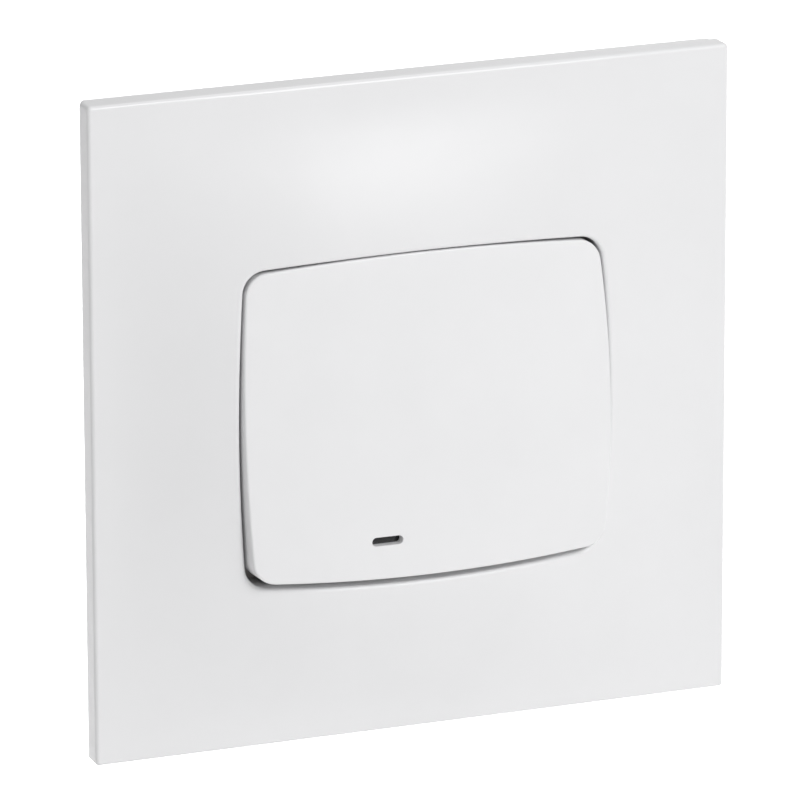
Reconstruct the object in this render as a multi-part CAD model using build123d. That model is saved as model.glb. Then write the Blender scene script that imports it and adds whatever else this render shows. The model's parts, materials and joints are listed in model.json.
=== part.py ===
from build123d import *
import os
from math import asin, cos, exp, log1p, radians, sin, sqrt

# Two-way flush switch in millimetres.
# The wall is the plane y = 0, the front looks along -Y, Z is up, and the mechanism is behind the wall.

# Cover plate
plate_size = 80.0
plate_corner = 0.5
rim_depth = 4.3  # wall to the front edge of the rim
rim_wall = 2.0
rim_round = 0.45
dome_height = 7.1  # rise of the whole dome, whose top the aperture cuts away
dome_margin = 3.5  # rim to the foot of the dome
dome_blend = 2.5  # how softly the dome rises from its foot
dome_power = 2.2  # 1 for flat slopes, 2 for a parabola, more for a level top
dome_steps = 48
plate_wall = 2.2
lip_depth = 1.5  # narrow step round the back edge
lip_side_inset = 0.6
lip_end_inset = 0.25
lip_corner = 0.5

# Aperture in the plate
aperture_width = 46.5
aperture_height = 40.3
aperture_corner = 3.0
aperture_round = 0.4
side_bow = 1.0  # how far each side of the aperture and rocker bulges
collar_wall = 1.3
collar_clearance = 1.0  # collar to the flange of the mechanism

# Rocker
side_gap = 0.27
end_gap = 0.72
rocker_sink = 0.75  # face behind the top of the whole dome
rocker_wall = 1.6
rocker_skirt = 5.95
rocker_round = 0.25
rocker_corner = 2.9
rocker_crown = 250.0  # radius of the convex face
rocker_tilt = 3.5  # either side of level
pivot_depth = 8.55  # face to pivot axis
trunnion_radius = 1.5
trunnion_length = 2.3
lug_thickness = 2.4
lug_radius = 2.2
running_clearance = 0.05
side_clearance = 0.3

# Window in the rocker
window_length = 3.87
window_height = 1.08
window_x = -5.85
window_rise = 4.74  # lower edge of the rocker to the middle of the window
lens_recess = 1.2
lens_clearance = 0.05
lens_flange = 1.1
lens_flange_thickness = 1.2
lens_seat_depth = 0.2  # flat seat let into the back of the face

# Stem, plunger and spring
plunger_radius = 2.05
plunger_length = 5.4  # straight part, without the round nose
stem_wall = 1.3
stem_overlap = 3.0  # length of the plunger held in the stem
spring_wire = 0.4
spring_radius = 1.5
spring_length = 5.6
spring_turns = 6

# Contact blade, a see-saw on the rib of the common terminal
blade_width = 6.0
blade_length = 19.6
blade_thickness = 0.8
blade_seat = 0.5  # pivot axis to the back of the blade
blade_tilt = 5.0
blade_setback = 2.1  # joint between the shells to the front of the blade
plunger_gap = 0.2
rib_clearance = 0.03
contact_arm = 8.0  # pivot axis to the middle of a contact
contact_radius = 1.6
contact_height = 0.9
contact_dome = 6.0
contact_gap = 0.1
rivet_radius = 0.8
rivet_clearance = 0.02

# Mounting frame
frame_margin = 2.5  # inside of the rim to the frame
frame_corner = 6.0
frame_thickness = 1.2
screw_spacing = 60.0
slot_length = 6.0
slot_width = 4.0

# Mechanism shells
body_width = 41.0
body_height = 42.0
body_corner = 2.0
body_wall = 1.6
body_fit = 0.5  # body to the window of the frame, each side
flange_overlap = 2.6
flange_thickness = 1.4
tray_floor = 1.6
lug_to_floor = 1.9
housing_depth = 8.0  # wall to the joint between the two shells
base_depth = 20.0
base_rear_wall = 3.5
post_height = 2.5  # bearing post in front of the pivot axis
post_width = 8.0
post_inset = 0.2  # outside of the body to the outside of the post
stem_room = 1.0
latch_width = 8.0
latch_height = 1.0
latch_depth = 2.3
latch_spacing = 18.0
tongue_width = 8.0
tongue_length = 8.4
tongue_thickness = 1.5
catch_width = 4.0
catch_length = 2.0
catch_reach = 1.3
catch_clearance = 0.2
fit_clearance = 0.1

# Clips of the cover plate
clip_width = 5.0
clip_thickness = 1.2
clip_x = 9.0
clip_clearance = 0.7  # flange of the mechanism to the clip
clip_reach = 2.4  # behind the wall
clip_hook = 0.8
clip_hook_length = 1.5
clip_room = 0.8

# Terminals
strip_thickness = 0.8
terminal_spacing = 13.0
terminal_height = 8.0
terminal_left = -8.0
terminal_right = 7.5
arm_width = 6.0
chamber_right = 6.0
chamber_clearance = 0.2
core_wall = 1.2
rear_clearance = 0.2
wire_radius = 1.5
wire_x = -5.6
wire_chamfer = 0.6
holder_width = 1.2
holder_height = 4.0
holder_clearance = 0.05

# Push-in clamp springs and release buttons
clamp_thickness = 0.4
clamp_width = 6.0
clamp_foot = 7.4
clamp_top = 2.2  # inner face of the rear wall to the bend
clamp_shoulder = 2.4
clamp_tip_gap = 0.3
clamp_tip_drop = 4.9
clamp_bend = 0.8
button_x = 0.4
button_width = 3.0
button_height = 4.0
button_proud = 1.0
button_flange = 0.6
button_flange_thickness = 0.9
button_nose = 1.4

# Locator lamp
lamp_radius = 1.5
lamp_length = 4.4
lamp_rim = 0.4
lamp_rim_thickness = 0.8
carrier_width = 7.0
carrier_height = 6.6
carrier_depth = 5.2
carrier_flange = 0.8
carrier_flange_thickness = 1.2
carrier_gap = 0.7  # wall of the housing to the flange of the carrier
lead_radius = 0.35
lead_x = -6.5
lead_spread = 1.3
lead_bend = 0.9
lead_run = 2.2  # carrier to the upright run of the upper lead

# Spreading claws
claw_z = 8.5
claw_width = 6.0
claw_thickness = 1.2
claw_pivot_offset = 1.9  # edge of the window to the pivot
claw_pivot_depth = 2.2
claw_knuckle = 1.5
claw_arm = 15.8
claw_tooth = 1.6
claw_tooth_length = 2.6
claw_lug_offset = 2.4
claw_lug_length = 6.6
claw_slot_length = 4.6
claw_slot_offset = 3.55
claw_screw_offset = 4.0
claw_screw_radius = 1.5
claw_screw_length = 7.5
claw_screw_clearance = 0.15
claw_head_radius = 2.6
claw_head_height = 1.8
claw_drive_width = 0.8
claw_drive_depth = 0.9
claw_pin_radius = 1.0
ear_thickness = 1.0
ear_clearance = 0.2
ear_height = 3.9
ear_width = 3.0

# Levels along Y
dome_top = -(rim_depth + dome_height)
face_y = dome_top + rocker_sink
pivot_y = face_y + pivot_depth
floor_y = pivot_y + lug_radius + lug_to_floor
flange_y = -frame_thickness - flange_thickness
skirt_y = face_y + rocker_skirt
base_back = housing_depth + base_depth
rear_wall_y = base_back - base_rear_wall
blade_front = housing_depth + blade_setback
plunger_tip = blade_front - plunger_gap
blade_back = blade_front + blade_thickness
contact_y = blade_back + blade_seat
contact_tip = blade_back + contact_height - contact_y
closed_y = contact_y + contact_tip * cos(radians(blade_tilt)) + contact_arm * sin(radians(blade_tilt))
terminal_front = closed_y + contact_gap + contact_height
terminal_back = terminal_front + strip_thickness
far = 2 * plate_size  # past everything

# Frame, its window and places across
frame_size = plate_size - 2 * (rim_wall + frame_margin)
window_half_x = body_width / 2 + body_fit
window_half_z = body_height / 2 + body_fit
stem_radius = plunger_radius + running_clearance + stem_wall
stem_end = plunger_tip - plunger_radius - plunger_length + stem_overlap
post_out = body_width / 2 - post_inset
lug_out = post_out - trunnion_length - running_clearance
claw_pivot_x = window_half_x + claw_pivot_offset
claw_screw_x = claw_pivot_x + claw_screw_offset
clip_z = window_half_z + flange_overlap + clip_clearance + clip_thickness / 2
rocker_width = aperture_width - 2 * side_gap
rocker_height = aperture_height - 2 * end_gap
window_z = window_rise - rocker_height / 2
window_y = face_y + rocker_crown - sqrt(rocker_crown**2 - window_x**2 - window_z**2)
lens_seat_y = window_y + rocker_wall - lens_seat_depth
terminal_places = {"common": 0.0, "upper": terminal_spacing, "lower": -terminal_spacing}


# A box between two limits on each axis
def block(x, y, z):
    limits = (x, y, z)
    middle = [(low + high) / 2 for low, high in limits]
    return Pos(*middle) * Box(*[high - low for low, high in limits])


# A round rod between two points
def rod(start, end, radius):
    run = Vector(*end) - Vector(*start)
    foot = (Align.CENTER, Align.CENTER, Align.MIN)
    return Plane(origin=start, z_dir=run) * Cylinder(radius, run.length, align=foot)


# A sketch in x and z made thick from one level to another
def slab(sketch, y_front, y_back):
    return extrude(Plane.XZ.offset(-y_back) * sketch, y_back - y_front)


# A sketch in x and y made thick along z
def upright(sketch, z_low, z_high):
    return extrude(Plane.XY.offset(z_low) * sketch, z_high - z_low)


# The same piece on the other side, turned half a turn about the middle of the plate
def opposite(piece):
    return Rot(0, 180, 0) * piece


# A piece turned about a level axis at a given depth
def tipped(piece, depth, angle):
    return Pos(0, depth, 0) * Rot(angle, 0, 0) * Pos(0, -depth, 0) * piece


# A rectangle with bulging sides and rounded corners
def pillow(width, height, corner):
    top, side = height / 2, width / 2
    x, z = side - side_bow, top - side_bow
    sides = [
        ThreePointArc((-x, z), (0, top), (x, z)),
        ThreePointArc((x, z), (side, 0), (x, -z)),
        ThreePointArc((x, -z), (0, -top), (-x, -z)),
        ThreePointArc((-x, -z), (-side, 0), (-x, z)),
    ]
    outline = make_face(sides)
    return fillet(outline.vertices(), corner)


# How far in from the dome's foot a place is, with a soft start
def dome_ramp(distance):
    foot = plate_size / 2 - dome_margin
    return dome_blend * log1p(exp((foot - distance) / dome_blend))


# Share of the dome's height at a distance from the middle: 1 in the middle, 0 at the rim
def dome_share(distance):
    middle = dome_ramp(0)
    below = (1 - dome_ramp(abs(distance)) / middle) ** dome_power
    rim_below = (1 - dome_ramp(plate_size / 2) / middle) ** dome_power
    return 1 - below / rim_below


# All that lies behind the dome's face, moved back by a depth
def behind_dome(depth):
    reach = plate_size / 2 + rim_wall
    places = [reach * (2 * i / dome_steps - 1) for i in range(dome_steps + 1)]
    rows = []
    for z in places:
        row = []
        for x in places:
            rise = dome_height * dome_share(x) * dome_share(z)
            row.append(Vector(x, depth - rim_depth - rise, z))
        rows.append(row)
    face = Face.make_surface_from_array_of_points(rows, tol=0.002, min_deg=3, max_deg=5)
    return extrude(face, amount=far, dir=(0, 1, 0))


aperture = pillow(aperture_width, aperture_height, aperture_corner)


# Moulded plate: domed front, hollow back, collar round the aperture and four clips
def make_cover_plate():
    square = RectangleRounded(plate_size, plate_size, plate_corner)
    plate = behind_dome(0) & slab(square, -far, 0)
    plate -= slab(aperture, -far, far)
    front = plate.faces().sort_by(Axis.Y)[0]
    rim_edges = front.outer_wire().edges()
    plate = fillet(rim_edges, rim_round)
    front = plate.faces().sort_by(Axis.Y)[0]
    plate = fillet(front.inner_wires()[0].edges(), aperture_round)
    lip = RectangleRounded(plate_size - 2 * lip_side_inset, plate_size - 2 * lip_end_inset, lip_corner)
    plate -= slab(Rectangle(far, far) - lip, -lip_depth, far)
    inside = Rectangle(plate_size - 2 * rim_wall, plate_size - 2 * rim_wall)
    plate -= behind_dome(plate_wall) & slab(inside, -far, far)
    collar = pillow(
        aperture_width + 2 * collar_wall,
        aperture_height + 2 * collar_wall,
        aperture_corner + collar_wall,
    )
    rooted = behind_dome(plate_wall / 2)
    plate += slab(collar - aperture, -far, flange_y - collar_clearance) & rooted
    for side in (-1, 1):
        for end in (-1, 1):
            leg = block(
                (side * clip_x - clip_width / 2, side * clip_x + clip_width / 2),
                (-far, clip_reach),
                (clip_z - clip_thickness / 2, clip_z + clip_thickness / 2),
            )
            catch = Polyline(
                (0, clip_z),
                (0, clip_z + clip_thickness / 2 + clip_hook),
                (clip_hook_length, clip_z + clip_thickness / 2),
                (clip_hook_length, clip_z),
                close=True,
            )
            hook = Plane.YZ.offset(side * clip_x - clip_width / 2) * make_face(catch)
            hook = Pos(0, fit_clearance, 0) * extrude(hook, clip_width)
            leg += hook
            if end < 0:
                leg = mirror(leg, Plane.XY)
            plate += leg & rooted
    return plate


# Rocker in its level position: shell, window, bearing lugs and plunger stem
def make_rocker():
    crown_middle = Pos(0, face_y + rocker_crown, 0)
    rocker = slab(pillow(rocker_width, rocker_height, rocker_corner), -far, skirt_y)
    rocker &= crown_middle * Sphere(rocker_crown)
    front = rocker.faces().sort_by(Axis.Y)[0]
    rocker = fillet(front.outer_wire().edges(), rocker_round)
    back_y = face_y + rocker_wall
    walls = 2 * rocker_wall
    hollow = pillow(rocker_width - walls, rocker_height - walls, rocker_corner - rocker_wall / 2)
    rocker -= slab(hollow, -far, far) & crown_middle * Sphere(rocker_crown - rocker_wall)
    for side in (-1, 1):
        inner, outer = side * (lug_out - lug_thickness), side * lug_out
        x = (min(inner, outer), max(inner, outer))
        rocker += block(x, (back_y - rocker_wall / 2, pivot_y), (-lug_radius, lug_radius))
        rocker += rod((inner, pivot_y, 0), (outer, pivot_y, 0), lug_radius)
        tip = side * (lug_out + trunnion_length)
        rocker += rod((inner, pivot_y, 0), (tip, pivot_y, 0), trunnion_radius)
    rocker += rod((0, back_y - rocker_wall / 2, 0), (0, stem_end, 0), stem_radius)
    bore = plunger_radius + running_clearance
    seat = plunger_tip - plunger_radius - plunger_length - spring_length
    rocker -= rod((0, seat, 0), (0, far, 0), bore)
    place = Pos(window_x, window_z)
    rocker -= slab(place * SlotOverall(window_length, window_height), -far, skirt_y)
    room = 2 * (lens_flange + lens_clearance)
    seat = SlotOverall(window_length + room, window_height + room)
    return rocker - slab(place * seat, lens_seat_y, skirt_y)


# Lens bar in the rocker's window, with a flange against the back of the face
def make_indicator_lens():
    bar = SlotOverall(window_length - 2 * lens_clearance, window_height - 2 * lens_clearance)
    flange = SlotOverall(window_length + 2 * lens_flange, window_height + 2 * lens_flange)
    place = Pos(window_x, window_z)
    lens = slab(place * bar, window_y + lens_recess, lens_seat_y)
    return lens + slab(place * flange, lens_seat_y, lens_seat_y + lens_flange_thickness)


def make_contact_plunger():
    nose_y = plunger_tip - plunger_radius
    plunger = rod((0, nose_y - plunger_length, 0), (0, nose_y, 0), plunger_radius)
    return plunger + Pos(0, nose_y, 0) * Sphere(plunger_radius)


def make_plunger_spring():
    end = plunger_tip - plunger_radius - plunger_length - spring_wire / 2
    rise = spring_length - spring_wire
    coil = Helix(rise / spring_turns, rise, spring_radius, center=(0, end - rise, 0), direction=(0, 1, 0))
    section = Plane(origin=coil @ 0, z_dir=coil % 0) * Circle(spring_wire / 2)
    return sweep(section, path=coil, is_frenet=True)


# Contact rivet, turned from half its section, with a domed face that looks along +Y or -Y
def make_contact(level, z, facing):
    slope = asin(contact_radius / contact_dome)
    shoulder = contact_height - contact_dome * (1 - cos(slope))
    half_rise = contact_height - contact_dome * (1 - cos(slope / 2))
    outline = [
        Polyline(
            (0, contact_height),
            (0, -strip_thickness),
            (rivet_radius, -strip_thickness),
            (rivet_radius, 0),
            (contact_radius, 0),
            (contact_radius, shoulder),
        ),
        ThreePointArc(
            (contact_radius, shoulder),
            (contact_dome * sin(slope / 2), half_rise),
            (0, contact_height),
        ),
    ]
    rivet = revolve(Plane.XZ * make_face(outline), Axis.Z)
    return Plane(origin=(0, level, z), x_dir=(1, 0, 0), z_dir=(0, facing, 0)) * rivet


# Blade in its level position, with holes for its two rivets
def make_contact_blade():
    blade = slab(RectangleRounded(blade_width, blade_length, rivet_radius), blade_front, blade_back)
    for z in (-contact_arm, contact_arm):
        blade -= rod((0, -far, z), (0, far, z), rivet_radius + rivet_clearance)
    return blade


# Brass strip: plate in front of its chamber, side bar along the wire, and arm or pivot rib
def make_terminal(z):
    low, high = z - terminal_height / 2, z + terminal_height / 2
    depth = (terminal_front, terminal_back)
    strip = block((terminal_left, terminal_right), depth, (low, high))
    bar = (terminal_left, terminal_left + strip_thickness)
    strip += block(bar, (terminal_front, rear_wall_y - rear_clearance), (low, high))
    if z:
        side = 1 if z > 0 else -1
        inner = side * (contact_arm - contact_radius)
        arm = (min(inner, z), max(inner, z))
        strip += block((-arm_width / 2, arm_width / 2), depth, arm)
        rivet_z = side * contact_arm
        strip -= rod((0, -far, rivet_z), (0, far, rivet_z), rivet_radius + rivet_clearance)
        return strip
    radius = blade_seat - rib_clearance
    rib_x = (-blade_width / 2, blade_width / 2)
    strip += block(rib_x, (contact_y, terminal_back), (-radius, radius))
    return strip + rod((rib_x[0], contact_y, 0), (rib_x[1], contact_y, 0), radius)


# Bent strip: foot on the terminal, back on the chamber's wall, free leg slanting to the side bar
def make_clamp_spring(z):
    half = clamp_thickness / 2
    foot_y = terminal_back + half
    back_x = chamber_right - half
    top_y = rear_wall_y - clamp_top
    tip_x = terminal_left + strip_thickness + clamp_tip_gap
    path = FilletPolyline(
        (back_x - clamp_foot, foot_y),
        (back_x, foot_y),
        (back_x, top_y),
        (back_x - clamp_shoulder, top_y),
        (tip_x, top_y - clamp_tip_drop),
        radius=clamp_bend,
    )
    strip = trace(path, clamp_thickness)
    return upright(strip, z - clamp_width / 2, z + clamp_width / 2)


# Push button in the rear wall with a flange that keeps it in
def make_release_button(z):
    half_x, half_z = button_width / 2, button_height / 2
    flange_back = rear_wall_y - fit_clearance
    flange_front = flange_back - button_flange_thickness
    x = (button_x - half_x, button_x + half_x)
    height = (z - half_z, z + half_z)
    button = block(x, (flange_front - button_nose, base_back + button_proud), height)
    rear_edges = button.faces().sort_by(Axis.Y)[-1].edges()
    button = fillet(rear_edges, button_proud / 2)
    wide = (x[0] - button_flange, x[1] + button_flange)
    tall = (height[0] - button_flange, height[1] + button_flange)
    return button + block(wide, (flange_front, flange_back), tall)


# Steel frame: slots for the box screws, windows for the clips, ears for the claws
def make_mounting_frame():
    outline = RectangleRounded(frame_size, frame_size, frame_corner)
    outline -= Rectangle(2 * window_half_x, 2 * window_half_z)
    slot = SlotOverall(slot_length, slot_width)
    clip_hole = Rectangle(clip_width + 2 * clip_room, clip_thickness + 2 * clip_hook + 2 * clip_room)
    for side in (-1, 1):
        outline -= Pos(side * screw_spacing / 2, 0) * slot
        outline -= Pos(0, side * screw_spacing / 2) * Rot(0, 0, 90) * slot
        for end in (-1, 1):
            outline -= Pos(side * clip_x, end * clip_z) * clip_hole
        hole = Circle(claw_screw_radius + running_clearance)
        outline -= Pos(side * claw_screw_x, side * claw_z) * hole
    frame = slab(outline, -frame_thickness, 0)
    ears = None
    inner = claw_width / 2 + ear_clearance
    for low in (claw_z - inner - ear_thickness, claw_z + inner):
        x = (claw_pivot_x - ear_width / 2, claw_pivot_x + ear_width / 2)
        ear = block(x, (-frame_thickness / 2, ear_height), (low, low + ear_thickness))
        ears = ear if ears is None else ears + ear
    pin = claw_pin_radius + rivet_clearance
    ears -= rod((claw_pivot_x, claw_pivot_depth, -far), (claw_pivot_x, claw_pivot_depth, far), pin)
    return frame + ears + opposite(ears)


# Claw on the right: knuckle, long toothed arm and short slotted lug, folded along the mechanism
def make_claw():
    x, y = claw_pivot_x, claw_pivot_depth
    half = claw_thickness / 2
    arm_end = y + claw_arm
    arm = make_face(
        Polyline(
            (x - half, y),
            (x + half, y),
            (x + half, arm_end - claw_tooth_length),
            (x + half + claw_tooth, arm_end),
            (x - half + claw_tooth, arm_end),
            (x - half, arm_end - claw_tooth_length),
            close=True,
        )
    )
    lug = Pos(x + claw_lug_length / 2, y + claw_lug_offset) * Rectangle(claw_lug_length, claw_thickness)
    outline = arm + lug + Pos(x, y) * Circle(claw_knuckle)
    claw = upright(outline, claw_z - claw_width / 2, claw_z + claw_width / 2)
    slot = SlotOverall(claw_slot_length, 2 * (claw_screw_radius + claw_screw_clearance))
    claw -= slab(Pos(x + claw_slot_offset, claw_z) * slot, y + claw_lug_offset - half, far)
    pin = claw_pin_radius + running_clearance
    return claw - rod((x, y, -far), (x, y, far), pin)


def make_claw_pin():
    half = claw_width / 2 + ear_clearance + ear_thickness
    low = (claw_pivot_x, claw_pivot_depth, claw_z - half)
    high = (claw_pivot_x, claw_pivot_depth, claw_z + half)
    return rod(low, high, claw_pin_radius)


# Screw with a slotted head in front of the frame
def make_claw_screw():
    x, z = claw_screw_x, claw_z
    head_back = -frame_thickness
    head_front = head_back - claw_head_height
    screw = rod((x, head_back, z), (x, head_back + claw_screw_length, z), claw_screw_radius)
    screw += rod((x, head_front, z), (x, head_back, z), claw_head_radius)
    cut_x = (x - claw_drive_width / 2, x + claw_drive_width / 2)
    cut_z = (z - claw_head_radius, z + claw_head_radius)
    return screw - block(cut_x, (-far, head_front + claw_drive_depth), cut_z)


lamp_x = window_x
lamp_z = window_z
carrier_z = carrier_gap + carrier_flange + carrier_height / 2 + body_wall - body_height / 2
carrier_front = floor_y - carrier_flange_thickness
carrier_back = carrier_front + carrier_depth


# Front shell: tray through the frame's window, flange, bearing posts and latches
def make_mechanism_housing():
    body = RectangleRounded(body_width, body_height, body_corner)
    inside = RectangleRounded(body_width - 2 * body_wall, body_height - 2 * body_wall, body_corner / 2)
    edge = 2 * flange_overlap
    flange = RectangleRounded(
        2 * window_half_x + edge,
        2 * window_half_z + edge,
        body_corner + flange_overlap,
    )
    housing = slab(body, flange_y, housing_depth)
    housing += slab(flange, flange_y, -frame_thickness)
    housing -= slab(inside, -far, floor_y)
    housing -= slab(inside, floor_y + tray_floor, far)
    for side in (-1, 1):
        inner, outer = side * (lug_out + side_clearance), side * post_out
        x = (min(inner, outer), max(inner, outer))
        post = block(x, (pivot_y, floor_y), (-post_width / 2, post_width / 2))
        post += block(x, (pivot_y - post_height, pivot_y), (-post_height, post_height))
        housing += post
        hole = trunnion_radius + running_clearance
        housing -= rod((side * lug_out, pivot_y, 0), (side * (post_out + far), pivot_y, 0), hole)
        tongue_out = body_width / 2 - body_wall - catch_clearance
        inner, outer = side * (tongue_out - tongue_thickness), side * tongue_out
        x = (min(inner, outer), max(inner, outer))
        tongue_end = floor_y + tray_floor + tongue_length
        tongue_z = (-tongue_width / 2, tongue_width / 2)
        housing += block(x, (floor_y + tray_floor / 2, tongue_end), tongue_z)
        inner, outer = side * tongue_out, side * (tongue_out + catch_reach)
        x = (min(inner, outer), max(inner, outer))
        catch_y = (housing_depth + catch_length / 2, housing_depth + 1.5 * catch_length)
        housing += block(x, catch_y, (-catch_width / 2, catch_width / 2))
        for end in (-1, 1):
            middle = side * latch_spacing / 2
            profile = Polyline(
                (fit_clearance, 0),
                (fit_clearance, body_height / 2 + latch_height),
                (fit_clearance + latch_depth, body_height / 2),
                (fit_clearance + latch_depth, 0),
                close=True,
            )
            latch = extrude(Plane.YZ.offset(middle - latch_width / 2) * make_face(profile), latch_width)
            latch &= block((-far, far), (-far, far), (body_height / 2 - body_wall / 2, far))
            housing += latch if end > 0 else mirror(latch, Plane.XY)
    opening = stem_radius + stem_room
    housing -= block((-opening, opening), (0, floor_y + 2 * tray_floor), (-opening, opening))
    seat_x = carrier_width / 2 + fit_clearance
    seat_z = carrier_height / 2 + fit_clearance
    housing -= block(
        (lamp_x - seat_x, lamp_x + seat_x),
        (0, floor_y + 2 * tray_floor),
        (carrier_z - seat_z, carrier_z + seat_z),
    )
    for z in terminal_places.values():
        housing += block(
            (terminal_right - holder_width, terminal_right),
            (floor_y + tray_floor / 2, terminal_front - holder_clearance),
            (z - holder_height / 2, z + holder_height / 2),
        )
    return housing


# Rear shell: box with three terminal chambers, wire entries, button windows and catch windows
def make_mechanism_base():
    body = RectangleRounded(body_width, body_height, body_corner)
    inside = RectangleRounded(body_width - 2 * body_wall, body_height - 2 * body_wall, body_corner / 2)
    base = slab(body, housing_depth, base_back)
    base -= slab(inside, -far, rear_wall_y)
    chamber_half = terminal_height / 2 + chamber_clearance
    core_half = terminal_spacing + chamber_half + core_wall
    base += block(
        (terminal_left - core_wall, terminal_right + core_wall),
        (terminal_back, rear_wall_y + base_rear_wall / 2),
        (-core_half, core_half),
    )
    for z in terminal_places.values():
        chamber_z = (z - chamber_half, z + chamber_half)
        base -= block((terminal_left, chamber_right), (0, rear_wall_y), chamber_z)
        base -= rod((wire_x, rear_wall_y, z), (wire_x, far, z), wire_radius)
        mouth = Cone(
            wire_radius + 2 * wire_chamfer,
            wire_radius,
            2 * wire_chamfer,
        )
        base -= Pos(wire_x, base_back, z) * Rot(90, 0, 0) * mouth
        half_x = button_width / 2 + fit_clearance
        half_z = button_height / 2 + fit_clearance
        base -= block(
            (button_x - half_x, button_x + half_x),
            (rear_wall_y, far),
            (z - half_z, z + half_z),
        )
    catch_y = housing_depth + catch_length
    catch_half = catch_length / 2 + catch_clearance
    catch_z = catch_width / 2 + catch_clearance
    for x in ((-far, -body_width / 4), (body_width / 4, far)):
        base -= block(x, (catch_y - catch_half, catch_y + catch_half), (-catch_z, catch_z))
    return base


def make_lamp_carrier():
    x = (lamp_x - carrier_width / 2, lamp_x + carrier_width / 2)
    z = (carrier_z - carrier_height / 2, carrier_z + carrier_height / 2)
    carrier = block(x, (carrier_front, carrier_back), z)
    wide = (x[0] - carrier_flange, x[1] + carrier_flange)
    tall = (z[0] - carrier_flange, z[1] + carrier_flange)
    return carrier + block(wide, (carrier_front, floor_y), tall)


# Small round-topped lamp with a rim at its foot
def make_indicator_lamp():
    rim_front = carrier_front - lamp_rim_thickness
    top = carrier_front - lamp_length + lamp_radius
    lamp = rod((lamp_x, carrier_front, lamp_z), (lamp_x, rim_front, lamp_z), lamp_radius + lamp_rim)
    lamp += rod((lamp_x, carrier_front, lamp_z), (lamp_x, top, lamp_z), lamp_radius)
    return lamp + Pos(lamp_x, top, lamp_z) * Sphere(lamp_radius)


def make_lamp_lead_lower():
    z = carrier_z - lead_spread
    return rod((lead_x, carrier_back, z), (lead_x, terminal_front, z), lead_radius)


# Wire from the carrier up to the upper terminal
def make_lamp_lead_upper():
    z = carrier_z + lead_spread
    run_y = carrier_back + lead_run
    path = FilletPolyline(
        (lead_x, carrier_back, z),
        (lead_x, run_y, z),
        (lead_x, run_y, terminal_spacing),
        (lead_x, terminal_front, terminal_spacing),
        radius=lead_bend,
    )
    return sweep(Plane(origin=path @ 0, z_dir=path % 0) * Circle(lead_radius), path=path)


# All pieces at rest: the rocker's lower edge is out and the lower contact is closed
pieces = {
    "cover_plate": make_cover_plate(),
    "mounting_frame": make_mounting_frame(),
    "mechanism_housing": make_mechanism_housing(),
    "mechanism_base": make_mechanism_base(),
    "lamp_carrier": make_lamp_carrier(),
    "indicator_lamp": make_indicator_lamp(),
    "lamp_lead_upper": make_lamp_lead_upper(),
    "lamp_lead_lower": make_lamp_lead_lower(),
    "fixed_contact_upper": make_contact(terminal_front, contact_arm, -1),
    "fixed_contact_lower": make_contact(terminal_front, -contact_arm, -1),
    "claw_right": make_claw(),
    "claw_left": opposite(make_claw()),
    "claw_pin_right": make_claw_pin(),
    "claw_pin_left": opposite(make_claw_pin()),
    "claw_screw_right": make_claw_screw(),
    "claw_screw_left": opposite(make_claw_screw()),
}
for name, z in terminal_places.items():
    pieces[f"terminal_{name}"] = make_terminal(z)
    pieces[f"clamp_spring_{name}"] = make_clamp_spring(z)
    pieces[f"release_button_{name}"] = make_release_button(z)

on_rocker = {
    "rocker": make_rocker(),
    "indicator_lens": make_indicator_lens(),
    "contact_plunger": make_contact_plunger(),
    "plunger_spring": make_plunger_spring(),
}
for name, piece in on_rocker.items():
    pieces[name] = tipped(piece, pivot_y, -rocker_tilt)

on_blade = {
    "contact_blade": make_contact_blade(),
    "moving_contact_upper": make_contact(blade_back, contact_arm, 1),
    "moving_contact_lower": make_contact(blade_back, -contact_arm, 1),
}
for name, piece in on_blade.items():
    pieces[name] = tipped(piece, contact_y, blade_tilt)

os.makedirs("parts", exist_ok=True)
for name, piece in pieces.items():
    export_step(piece, f"parts/{name}.step")
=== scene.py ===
import json
import math

import bpy
from mathutils import Matrix, Vector

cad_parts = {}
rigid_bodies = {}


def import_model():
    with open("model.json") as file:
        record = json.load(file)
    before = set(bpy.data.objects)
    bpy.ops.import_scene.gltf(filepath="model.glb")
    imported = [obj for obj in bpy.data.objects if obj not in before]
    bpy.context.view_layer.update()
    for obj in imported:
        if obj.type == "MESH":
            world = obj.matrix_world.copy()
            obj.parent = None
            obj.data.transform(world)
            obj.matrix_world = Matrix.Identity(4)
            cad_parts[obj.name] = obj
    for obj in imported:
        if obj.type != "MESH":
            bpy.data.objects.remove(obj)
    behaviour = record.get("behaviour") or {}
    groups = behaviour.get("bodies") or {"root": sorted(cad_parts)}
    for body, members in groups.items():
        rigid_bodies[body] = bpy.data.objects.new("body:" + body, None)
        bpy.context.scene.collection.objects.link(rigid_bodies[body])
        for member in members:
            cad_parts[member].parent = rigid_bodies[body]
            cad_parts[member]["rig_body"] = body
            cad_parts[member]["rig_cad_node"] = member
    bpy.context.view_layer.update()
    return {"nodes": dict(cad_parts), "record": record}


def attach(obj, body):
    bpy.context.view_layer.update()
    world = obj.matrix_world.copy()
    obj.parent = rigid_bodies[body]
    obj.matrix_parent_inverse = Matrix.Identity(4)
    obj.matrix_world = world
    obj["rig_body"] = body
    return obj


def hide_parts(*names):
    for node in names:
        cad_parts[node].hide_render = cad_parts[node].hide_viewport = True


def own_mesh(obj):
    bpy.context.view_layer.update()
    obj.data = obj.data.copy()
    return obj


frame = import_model()
nodes = frame["nodes"]
mm = 0.001
bpy.ops.object.select_all(action="DESELECT")
print("frame loaded:", len(nodes), "nodes")


def linear(code):  # sRGB hex to the linear colour that shaders read
    channels = [int(code[i : i + 2], 16) / 255 for i in (1, 3, 5)]
    return [c / 12.92 if c <= 0.04045 else ((c + 0.055) / 1.055) ** 2.4 for c in channels] + [1.0]


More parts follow.
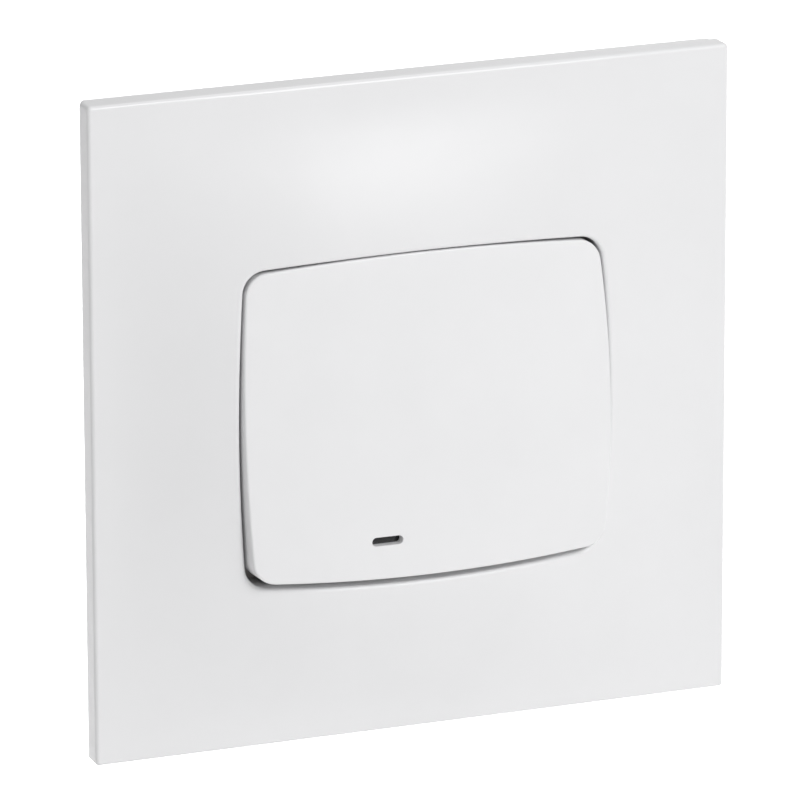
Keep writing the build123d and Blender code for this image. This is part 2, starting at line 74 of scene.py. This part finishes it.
def addNode(tree, kind, settings, **links):  # one node with its settings and what feeds its sockets
    node = tree.nodes.new(kind)
    for name, value in settings.items():
        if hasattr(node, name):
            setattr(node, name, value)
        else:
            node.inputs[name].default_value = value
    for name, source in links.items():
        tree.links.new(source, node.inputs[name.replace("_", " ")])
    return node


def startMaterial(name):  # empty material with the place of each point on the piece
    material = bpy.data.materials.new(name)
    material.use_nodes = True
    tree = material.node_tree
    tree.nodes.clear()
    place = addNode(tree, "ShaderNodeTexCoord", {}).outputs["Object"]
    return material, tree, place


def endMaterial(tree, settings, **links):  # the surface itself and the way out
    shader = addNode(tree, "ShaderNodeBsdfPrincipled", settings, **links)
    addNode(tree, "ShaderNodeOutputMaterial", {}, Surface=shader.outputs["BSDF"])


def perMetre(size):  # texture scale for a feature of that many millimetres
    return 1 / (size * mm)


noiseDetail = {"flow": 3.0, "grain": 2.0, "streak": 4.0, "bloom": 3.0, "haze": 2.0, "cloud": 2.0}
noiseSpan = (0.3, 0.7)  # where nearly all of a noise lies
bloomSpan = (0.35, 0.65)
fullSpan = (0.0, 1.0)
bandsAtScaleOne = 10 / math.pi  # bands in a metre of a wave texture at scale 1


def addNoise(tree, kind, size, place):
    settings = {"Scale": perMetre(size), "Detail": noiseDetail[kind]}
    return addNode(tree, "ShaderNodeTexNoise", settings, Vector=place).outputs["Fac"]


def addTone(tree, colors, span, pattern):  # the pattern as a change between two close colours
    tone = addNode(tree, "ShaderNodeValToRGB", {}, Fac=pattern)
    for stop, code, position in zip(tone.color_ramp.elements, colors, span):
        stop.color = linear(code)
        stop.position = position
    return tone.outputs["Color"]


def addGloss(tree, roughness, span, pattern):  # the pattern as a change of roughness
    settings = {"From Min": span[0], "From Max": span[1], "To Min": roughness[0], "To Max": roughness[1]}
    return addNode(tree, "ShaderNodeMapRange", settings, Value=pattern).outputs["Result"]


def mouldedPlastic(look):
    material, tree, place = startMaterial(look["name"])
    flow = addNoise(tree, "flow", look["flowMm"], place)
    grain = addNoise(tree, "grain", look["grainMm"], place)
    relief = addNode(
        tree,
        "ShaderNodeBump",
        {"Strength": look["grainStrength"], "Distance": look["grainDepthMm"] * mm},
        Height=grain,
    )
    endMaterial(
        tree,
        {"IOR": look["ior"]},
        Base_Color=addTone(tree, look["colors"], noiseSpan, flow),
        Roughness=addGloss(tree, look["roughness"], noiseSpan, flow),
        Normal=relief.outputs["Normal"],
    )
    return material


def rolledMetal(look):
    material, tree, place = startMaterial(look["name"])
    lines = addNode(tree, "ShaderNodeMapping", {"Scale": look["stretch"]}, Vector=place)
    streak = addNoise(tree, "streak", look["streakMm"], lines.outputs["Vector"])
    bloom = addNoise(tree, "bloom", look["bloomMm"], place)
    relief = addNode(
        tree,
        "ShaderNodeBump",
        {"Strength": look["streakStrength"], "Distance": look["streakDepthMm"] * mm},
        Height=streak,
    )
    if "pitchMm" in look:  # rolled thread, its ridges square to the depth of the switch
        bands = perMetre(look["pitchMm"]) / bandsAtScaleOne
        thread = addNode(
            tree,
            "ShaderNodeTexWave",
            {"bands_direction": "Y", "wave_profile": "TRI", "Scale": bands},
            Vector=place,
        )
        relief = addNode(
            tree,
            "ShaderNodeBump",
            {"Distance": look["threadDepthMm"] * mm},
            Height=thread.outputs["Fac"],
            Normal=relief.outputs["Normal"],
        )
    endMaterial(
        tree,
        {"Metallic": 1.0},
        Base_Color=addTone(tree, look["colors"], bloomSpan, bloom),
        Roughness=addGloss(tree, look["roughness"], noiseSpan, streak),
        Normal=relief.outputs["Normal"],
    )
    return material


def clearPlastic(look):
    material, tree, place = startMaterial(look["name"])
    haze = addNoise(tree, "haze", look["hazeMm"], place)
    endMaterial(
        tree,
        {"Base Color": linear(look["tint"]), "Transmission Weight": look["clearness"], "IOR": look["ior"]},
        Roughness=addGloss(tree, look["roughness"], fullSpan, haze),
    )
    return material


# Plate: gloss ABS from a polished mould, a clean white with soft wide highlights
plateLook = {
    "name": "gloss white ABS",
    "colors": ("#efeff0", "#f1f1f2"),
    "flowMm": 14.0,
    "roughness": (0.34, 0.37),
    "grainMm": 0.7,
    "grainStrength": 0.05,
    "grainDepthMm": 0.02,
    "ior": 1.52,
}
# Rocker: the same plastic from another mould, a touch more satin
rockerLook = {
    "name": "satin white ABS",
    "colors": ("#f1f1f2", "#f3f3f4"),
    "flowMm": 11.0,
    "roughness": (0.42, 0.45),
    "grainMm": 0.6,
    "grainStrength": 0.05,
    "grainDepthMm": 0.02,
    "ior": 1.52,
}
# Lens: smoked polycarbonate, nearly black with a glassy skin
lensLook = {
    "name": "smoked polycarbonate",
    "colors": ("#101112", "#1a1c1d"),
    "flowMm": 2.0,
    "roughness": (0.12, 0.2),
    "grainMm": 0.4,
    "grainStrength": 0.05,
    "grainDepthMm": 0.01,
    "ior": 1.58,
}
# Front shell and lamp carrier: glass-filled polyamide, matt with a cloudy flow
housingLook = {
    "name": "white glass-filled polyamide",
    "colors": ("#dedcd5", "#e8e6e0"),
    "flowMm": 5.0,
    "roughness": (0.5, 0.62),
    "grainMm": 0.35,
    "grainStrength": 0.25,
    "grainDepthMm": 0.03,
    "ior": 1.53,
}
# Rear shell: the same polyamide in grey, matt and a little cloudy
baseLook = {
    "name": "grey glass-filled polyamide",
    "colors": ("#9fa1a3", "#a6a8aa"),
    "flowMm": 6.0,
    "roughness": (0.5, 0.64),
    "grainMm": 0.35,
    "grainStrength": 0.3,
    "grainDepthMm": 0.03,
    "ior": 1.53,
}
# Release buttons: polyamide in signal orange, smoother than the shells
buttonLook = {
    "name": "orange polyamide",
    "colors": ("#d9651c", "#e0702a"),
    "flowMm": 2.0,
    "roughness": (0.35, 0.45),
    "grainMm": 0.3,
    "grainStrength": 0.15,
    "grainDepthMm": 0.02,
    "ior": 1.53,
}
# Plunger: natural acetal, waxy off-white
plungerLook = {
    "name": "natural acetal",
    "colors": ("#e9e6da", "#f0ede3"),
    "flowMm": 2.5,
    "roughness": (0.32, 0.42),
    "grainMm": 0.4,
    "grainStrength": 0.1,
    "grainDepthMm": 0.02,
    "ior": 1.48,
}
# Frame: cold-rolled steel with a bright zinc plating, streaked along the strip
frameLook = {
    "name": "zinc plated steel sheet",
    "colors": ("#a8abae", "#b3b5b7"),
    "bloomMm": 2.5,
    "stretch": (0.02, 1.0, 1.0),
    "streakMm": 0.4,
    "roughness": (0.30, 0.42),
    "streakStrength": 0.15,
    "streakDepthMm": 0.02,
}
# Claws and pins: steel with a yellow passivated zinc plating, which gives a dull straw gold
clawLook = {
    "name": "yellow passivated steel",
    "colors": ("#b9a77c", "#cdbf9a"),
    "bloomMm": 2.5,
    "stretch": (1.0, 0.1, 1.0),
    "streakMm": 0.5,
    "roughness": (0.28, 0.42),
    "streakStrength": 0.2,
    "streakDepthMm": 0.02,
}
# Claw screws: the same plating over a rolled thread, whose ridges catch the light
screwLook = {
    **clawLook,
    "name": "yellow passivated screw thread",
    "pitchMm": 0.5,
    "threadDepthMm": 0.3,
}
# Terminals and blade: stamped brass strip, warm with fine lines across
brassLook = {
    "name": "stamped brass",
    "colors": ("#c79a4b", "#d8b066"),
    "bloomMm": 3.0,
    "stretch": (0.1, 1.0, 1.0),
    "streakMm": 0.5,
    "roughness": (0.24, 0.36),
    "streakStrength": 0.15,
    "streakDepthMm": 0.015,
}
# Contacts: silver alloy rivets, bright on the dome
silverLook = {
    "name": "silver contact alloy",
    "colors": ("#cfcdc7", "#e2e0da"),
    "bloomMm": 1.2,
    "stretch": (1.0, 1.0, 1.0),
    "streakMm": 0.3,
    "roughness": (0.18, 0.3),
    "streakStrength": 0.1,
    "streakDepthMm": 0.01,
}
# Springs: stainless strip and wire, drawn lines along their length
springLook = {
    "name": "stainless spring steel",
    "colors": ("#a9abad", "#bcbec0"),
    "bloomMm": 2.0,
    "stretch": (0.2, 0.2, 1.0),
    "streakMm": 0.3,
    "roughness": (0.2, 0.32),
    "streakStrength": 0.12,
    "streakDepthMm": 0.01,
}
# Lamp leads: tinned copper wire with the copper showing through
leadLook = {
    "name": "tinned copper wire",
    "colors": ("#b98a68", "#c9b7a6"),
    "bloomMm": 1.0,
    "stretch": (1.0, 1.0, 1.0),
    "streakMm": 0.3,
    "roughness": (0.3, 0.42),
    "streakStrength": 0.1,
    "streakDepthMm": 0.01,
}
# Lamp: clear polystyrene dome, tinted green and a little hazy
lampLook = {
    "name": "tinted clear polystyrene",
    "tint": "#bfe3c6",
    "clearness": 0.85,
    "roughness": (0.06, 0.16),
    "hazeMm": 0.8,
    "ior": 1.59,
}

finishes = {
    "plate_white": mouldedPlastic(plateLook),
    "rocker_white": mouldedPlastic(rockerLook),
    "lens_smoke": mouldedPlastic(lensLook),
    "housing_white": mouldedPlastic(housingLook),
    "base_grey": mouldedPlastic(baseLook),
    "button_orange": mouldedPlastic(buttonLook),
    "plunger_white": mouldedPlastic(plungerLook),
    "frame_steel": rolledMetal(frameLook),
    "claw_zinc": rolledMetal(clawLook),
    "terminal_brass": rolledMetal(brassLook),
    "contact_silver": rolledMetal(silverLook),
    "spring_steel": rolledMetal(springLook),
    "lead_copper": rolledMetal(leadLook),
    "lamp_clear": clearPlastic(lampLook),
}
for part in frame["record"]["subparts"]:
    mesh = nodes[part["node"]].data
    mesh.materials.clear()
    mesh.materials.append(finishes[part["material_slot"]])
screwSteel = rolledMetal(screwLook)
for side in ("left", "right"):
    nodes["claw_screw_" + side].data.materials[0] = screwSteel
print("finishes given to", len(nodes), "nodes")

# Springs: the imported ones are rigid, so a copy with a mesh of its own stands for each on the same body,
# and the original is hidden
springSet = {"plunger_spring": {"joint": "plunger_slide", "keep": 0.85}}
for terminal in ("common", "upper", "lower"):
    springSet["clamp_spring_" + terminal] = {"joint": f"release_{terminal}_press", "keep": 0.83}
for name, give in springSet.items():
    packed = nodes[name]
    packed.select_set(True)
    bpy.context.view_layer.objects.active = packed
    bpy.ops.object.duplicate()
    spring = bpy.context.object
    spring.name = "flexing_" + name
    del spring["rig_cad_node"]  # the copy is a piece of its own
    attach(spring, packed["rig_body"])
    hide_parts(name)
    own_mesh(spring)
    bpy.ops.object.select_all(action="DESELECT")
print("springs that give way:", len(springSet))

# Stage: a wide pale floor well below the switch, which hangs as on a wall
floorSet = {
    "name": "pale studio floor",
    "size": 6.0,
    "drop": 0.15,
    "colors": ("#f4f4f4", "#f8f8f8"),
    "cloudMm": 400.0,
    "roughness": 0.7,
}
bpy.ops.mesh.primitive_plane_add(size=floorSet["size"], location=(0, 0, -floorSet["drop"]))
floor = bpy.context.object
floor.name = "floor"
floorMaterial, floorTree, place = startMaterial(floorSet["name"])
cloud = addNoise(floorTree, "cloud", floorSet["cloudMm"], place)
endMaterial(
    floorTree,
    {"Roughness": floorSet["roughness"]},
    Base_Color=addTone(floorTree, floorSet["colors"], fullSpan, cloud),
)
floor.data.materials.append(floorMaterial)
bpy.ops.object.select_all(action="DESELECT")

# Room: even white light from all round
roomSet = {"color": "#ffffff", "strength": 0.484}
room = bpy.data.worlds.new("white room")
bpy.context.scene.world = room
room.use_nodes = True
background = room.node_tree.nodes["Background"]
background.inputs["Color"].default_value = linear(roomSet["color"])
background.inputs["Strength"].default_value = roomSet["strength"]

# Soft boxes, in metres and watts
softBoxes = {
    "key box": {  # in front and above, gives the glow over the rocker
        "place": (0.174, -0.568, 0.371),
        "size": 0.16,
        "power": 1.93,
        "aim": (0, 0, 0),
    },
    "backdrop box": {  # turned away from the switch, whitens the floor behind it
        "place": (0.1, 0.22, 0.35),
        "size": 0.5,
        "power": 7.0,
        "aim": (0.3, 0.9, -0.15),
    },
    "fill box": {  # weak, low on the right, lifts the lower corners
        "place": (0.09, -0.2, -0.16),
        "size": 0.1,
        "power": 0.045,
        "aim": (0.01, 0, -0.03),
    },
    "top box": {  # small and close above the back, lights the top of the rim and of the shells
        "place": (0.02, 0.05, 0.16),
        "size": 0.1,
        "power": 0.03,
        "aim": (0, 0, 0.04),
    },
    "rear box": {  # low behind, for the frame and the terminals
        "place": (0.45, 0.70, -0.03),
        "size": 0.30,
        "power": 1.2,
        "aim": (0, 0.02, 0),
    },
}
for name, box in softBoxes.items():
    aim = Vector(box["aim"]) - Vector(box["place"])
    turn = aim.to_track_quat("-Z", "Y").to_euler()
    bpy.ops.object.light_add(type="AREA", location=box["place"], rotation=turn)
    light = bpy.context.object
    light.name = name
    light.data.size = box["size"]
    light.data.energy = box["power"]
    light.visible_camera = False  # seen in gloss only
print("stage and light set")

# Camera: long lens, from the left and a little above
cameraSet = {
    "sensor": 36.0,
    "lens": 379.6,
    "azimuth": -21.1,
    "elevation": 16.8,
    "roll": -0.16,
    "distanceMm": 991.6,
    "targetMm": (-1.68, -4.3, 0.73),
}
azimuth = math.radians(cameraSet["azimuth"])
elevation = math.radians(cameraSet["elevation"])
back = Vector(
    (
        math.sin(azimuth) * math.cos(elevation),
        -math.cos(azimuth) * math.cos(elevation),
        math.sin(elevation),
    )
)
target = Vector(cameraSet["targetMm"]) * mm
spot = target + back * cameraSet["distanceMm"] * mm
roll = Matrix.Rotation(math.radians(cameraSet["roll"]), 3, "Z")
turn = (-back).to_track_quat("-Z", "Y").to_matrix() @ roll
bpy.ops.object.camera_add(location=spot, rotation=turn.to_euler())
camera = bpy.context.object
camera.data.sensor_width = cameraSet["sensor"]
camera.data.lens = cameraSet["lens"]
bpy.context.scene.camera = camera
bpy.context.scene.view_settings.view_transform = "Standard"  # whites stay white
print("camera set")
